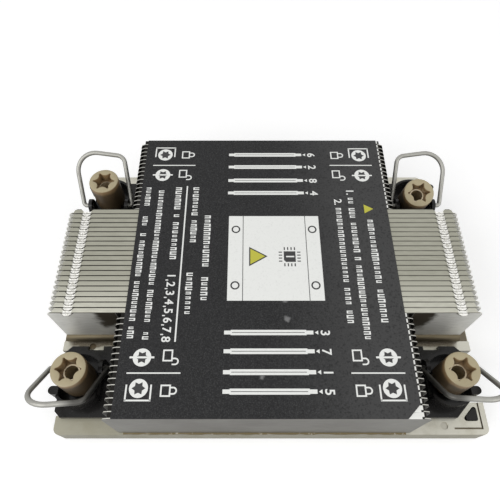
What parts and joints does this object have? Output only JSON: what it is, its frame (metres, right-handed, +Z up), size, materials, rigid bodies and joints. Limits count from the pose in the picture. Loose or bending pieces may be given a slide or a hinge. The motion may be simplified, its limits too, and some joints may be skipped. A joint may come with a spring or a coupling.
{
  "type": "processor heatsink",
  "caption": "Low passive processor heatsink: a folded fin stack on a plated base with heat pipes, and corner brackets that hold captive nuts and swinging wire bails.",
  "frame": {"origin": "centre of the flat contact face under the base plate", "axes": "+X to the right along the wings, +Y to the rear, +Z up away from the processor"},
  "size_m": [0.1082, 0.078, 0.0243],
  "materials": {
    "plated_base": "satin plated, warm grey",
    "plated_copper": "plated, slightly brown",
    "fin_stock": "satin plated sheet",
    "printed_film": "matt film",
    "black_plastic": "gloss moulded",
    "tan_plastic": "satin moulded",
    "steel_wire": "satin drawn wire"
  },
  "bodies": {
    "heatsink": {"base_plate": "plated_base", "heat_pipe_1": "plated_copper", "heat_pipe_2": "plated_copper", "heat_pipe_3": "plated_copper", "heat_pipe_4": "plated_copper", "front_fins": "fin_stock", "wing_fin_01": "fin_stock", "wing_fin_02": "fin_stock", "wing_fin_03": "fin_stock", "wing_fin_04": "fin_stock", "wing_fin_05": "fin_stock", "wing_fin_06": "fin_stock", "wing_fin_07": "fin_stock", "wing_fin_08": "fin_stock", "wing_fin_09": "fin_stock", "wing_fin_10": "fin_stock", "wing_fin_11": "fin_stock", "wing_fin_12": "fin_stock", "wing_fin_13": "fin_stock", "wing_fin_14": "fin_stock", "wing_fin_15": "fin_stock", "wing_fin_16": "fin_stock", "wing_fin_17": "fin_stock", "wing_fin_18": "fin_stock", "wing_fin_19": "fin_stock", "wing_fin_20": "fin_stock", "wing_fin_21": "fin_stock", "rear_fins": "fin_stock", "label": "printed_film", "bracket_front_left": "black_plastic", "bracket_front_right": "black_plastic", "bracket_rear_left": "black_plastic", "bracket_rear_right": "black_plastic"},
    "nut_front_left": {"nut_front_left": "tan_plastic"},
    "bail_front_left": {"bail_front_left": "steel_wire"},
    "nut_front_right": {"nut_front_right": "tan_plastic"},
    "bail_front_right": {"bail_front_right": "steel_wire"},
    "nut_rear_left": {"nut_rear_left": "tan_plastic"},
    "bail_rear_left": {"bail_rear_left": "steel_wire"},
    "nut_rear_right": {"nut_rear_right": "tan_plastic"},
    "bail_rear_right": {"bail_rear_right": "steel_wire"}
  },
  "joints": [
    {"name": "bail_front_left_swing", "type": "hinge", "parent": "heatsink", "child": "bail_front_left", "pos_m": [-0.045, -0.0242, 0.0122], "axis": [-1, 0, 0], "range_deg": [-48.4, 74.6]},
    {"name": "nut_front_left_turn", "type": "hinge", "parent": "heatsink", "child": "nut_front_left", "pos_m": [-0.045, -0.0269, 0.00865], "axis": [0, 0, 1], "continuous": true},
    {"name": "bail_front_right_swing", "type": "hinge", "parent": "heatsink", "child": "bail_front_right", "pos_m": [0.045, -0.0242, 0.0122], "axis": [-1, 0, 0], "range_deg": [-53, 70]},
    {"name": "nut_front_right_turn", "type": "hinge", "parent": "heatsink", "child": "nut_front_right", "pos_m": [0.045, -0.0269, 0.00865], "axis": [0, 0, 1], "continuous": true},
    {"name": "bail_rear_left_swing", "type": "hinge", "parent": "heatsink", "child": "bail_rear_left", "pos_m": [-0.045, 0.0242, 0.0122], "axis": [1, 0, 0], "range_deg": [-49.9, 73.1]},
    {"name": "nut_rear_left_turn", "type": "hinge", "parent": "heatsink", "child": "nut_rear_left", "pos_m": [-0.045, 0.0269, 0.00865], "axis": [0, 0, 1], "continuous": true},
    {"name": "bail_rear_right_swing", "type": "hinge", "parent": "heatsink", "child": "bail_rear_right", "pos_m": [0.045, 0.0242, 0.0122], "axis": [1, 0, 0], "range_deg": [-38.2, 84.8]},
    {"name": "nut_rear_right_turn", "type": "hinge", "parent": "heatsink", "child": "nut_rear_right", "pos_m": [0.0449, 0.0269, 0.00865], "axis": [-0.0746, -0.309, 0.9481], "continuous": true}
  ]
}
